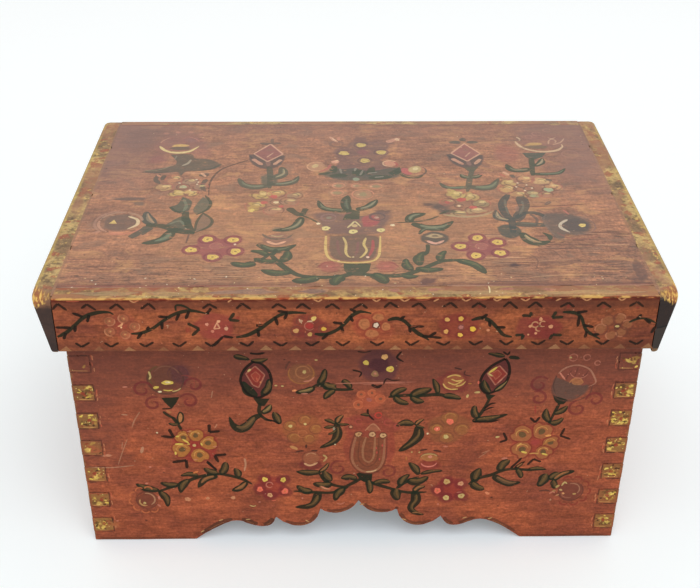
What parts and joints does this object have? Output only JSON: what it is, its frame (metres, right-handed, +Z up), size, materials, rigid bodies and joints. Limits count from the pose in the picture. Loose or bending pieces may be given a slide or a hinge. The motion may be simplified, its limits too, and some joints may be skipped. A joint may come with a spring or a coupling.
{
  "type": "painted wooden box",
  "caption": "Dovetailed wooden box with a shaped front skirt and a lid with side cleats and a front apron, turning on two iron pins.",
  "frame": {"origin": "centre of the bounding box of the closed box, on the floor", "axes": "+X to the right along the front, +Y to the back, +Z up"},
  "size_m": [0.339, 0.234, 0.18],
  "materials": {
    "body_paint": "worn red-brown paint on pine",
    "lid_paint": "worn rose-brown paint on pine, polished by use",
    "cleat_paint": "dark brown paint, worn at the edges",
    "bare_wood": "old bare pine",
    "iron": "dark rusted iron"
  },
  "bodies": {
    "root": {"front_board": "body_paint", "back_board": "body_paint", "left_side_board": "body_paint", "right_side_board": "body_paint", "bottom_board": "bare_wood", "left_bottom_nail_1": "iron", "left_bottom_nail_2": "iron", "left_bottom_nail_3": "iron", "right_bottom_nail_1": "iron", "right_bottom_nail_2": "iron", "right_bottom_nail_3": "iron", "back_bottom_nail_1": "iron", "back_bottom_nail_2": "iron", "back_bottom_nail_3": "iron"},
    "lid": {"lid_panel": "lid_paint", "lid_apron": "body_paint", "lid_left_cleat": "cleat_paint", "lid_right_cleat": "cleat_paint", "left_hinge_pin": "iron", "right_hinge_pin": "iron", "left_cleat_nail_1": "iron", "left_cleat_nail_2": "iron", "left_cleat_nail_3": "iron", "left_apron_nail": "iron", "right_cleat_nail_1": "iron", "right_cleat_nail_2": "iron", "right_cleat_nail_3": "iron", "right_apron_nail": "iron"}
  },
  "joints": [
    {"name": "lid_hinge", "type": "hinge", "parent": "root", "child": "lid", "pos_m": [0, 0.0997, 0.1526], "axis": [-1, 0, 0], "range_deg": [0, 92]}
  ]
}
